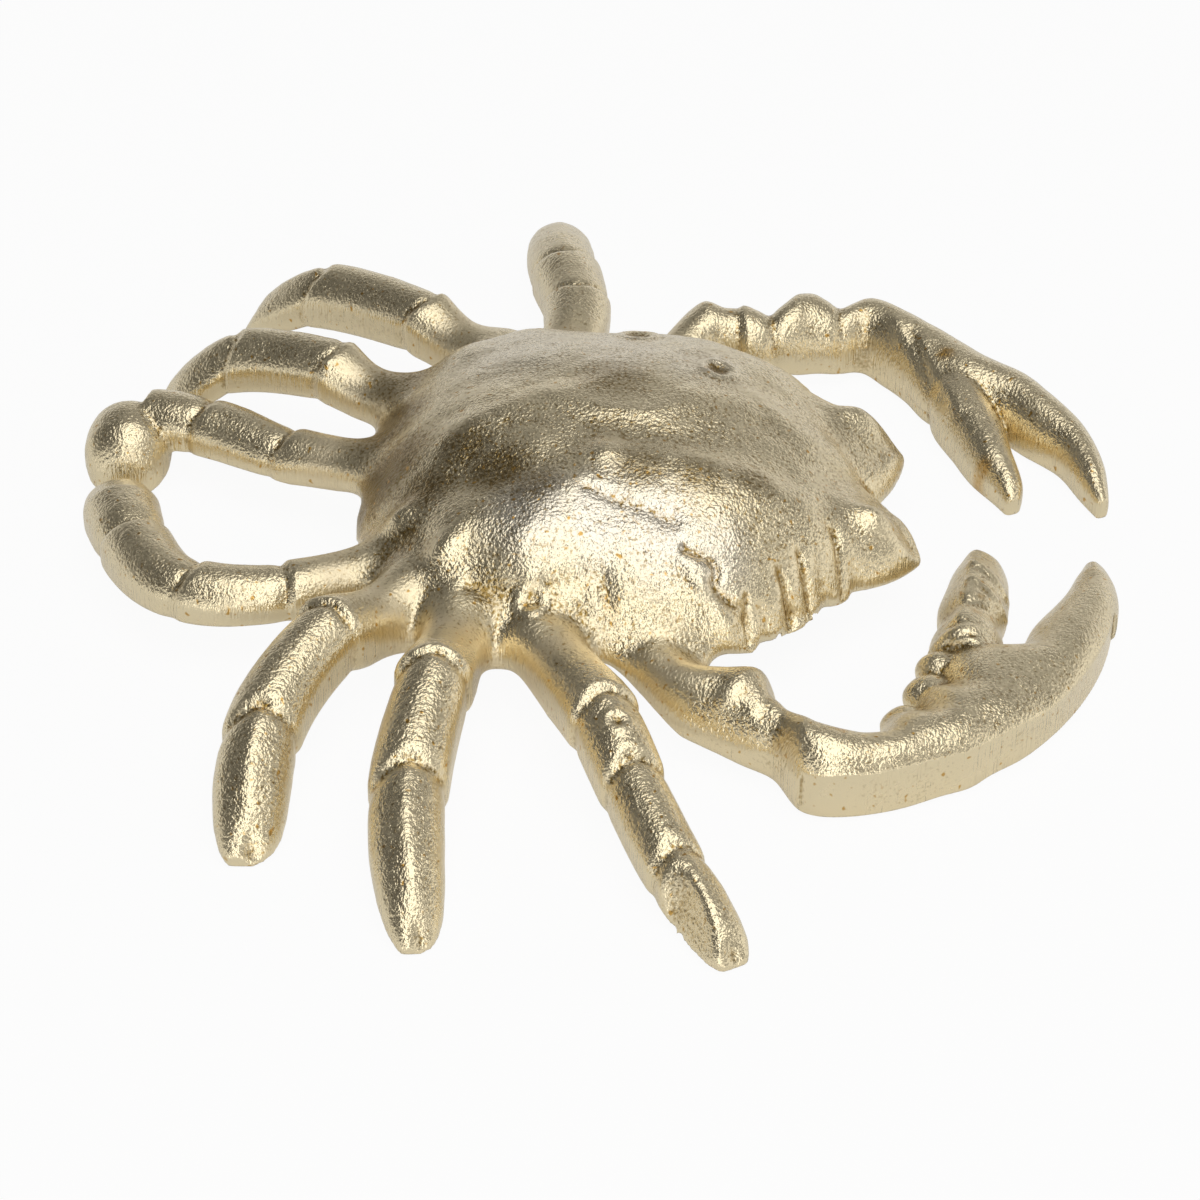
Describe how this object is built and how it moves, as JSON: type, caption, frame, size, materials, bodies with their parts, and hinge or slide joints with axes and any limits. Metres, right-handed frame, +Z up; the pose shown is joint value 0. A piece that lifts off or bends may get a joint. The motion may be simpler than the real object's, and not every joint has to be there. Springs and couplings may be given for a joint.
{
  "type": "crab figurine",
  "caption": "Cast metal crab ornament: hollow domed body with short horns, solid legs and long-fingered claws welded on, standing free on a table.",
  "frame": {"origin": "on the table, under the middle of the whole figure", "axes": "+Z up, the crab faces -Y, and its span from leg tip to leg tip is along X"},
  "size_m": [0.2486, 0.2042, 0.0367],
  "materials": {
    "cast_metal": "champagne gold tint over sand-cast aluminium, satin, file marks on the low sides",
    "weld_metal": "dressed weld, satin, same tint"
  },
  "bodies": {
    "root": {"body_casting": "cast_metal", "right_claw": "cast_metal", "left_claw": "cast_metal", "right_front_leg": "cast_metal", "right_second_leg": "cast_metal", "right_third_leg": "cast_metal", "right_rear_leg": "cast_metal", "left_front_leg": "cast_metal", "left_second_leg": "cast_metal", "left_third_leg": "cast_metal", "left_rear_leg": "cast_metal", "right_claw_weld": "weld_metal", "left_claw_weld": "weld_metal", "right_front_leg_weld": "weld_metal", "right_second_leg_weld": "weld_metal", "right_third_leg_weld": "weld_metal", "right_rear_leg_weld": "weld_metal", "left_front_leg_weld": "weld_metal", "left_second_leg_weld": "weld_metal", "left_third_leg_weld": "weld_metal", "left_rear_leg_weld": "weld_metal"}
  },
  "joints": []
}
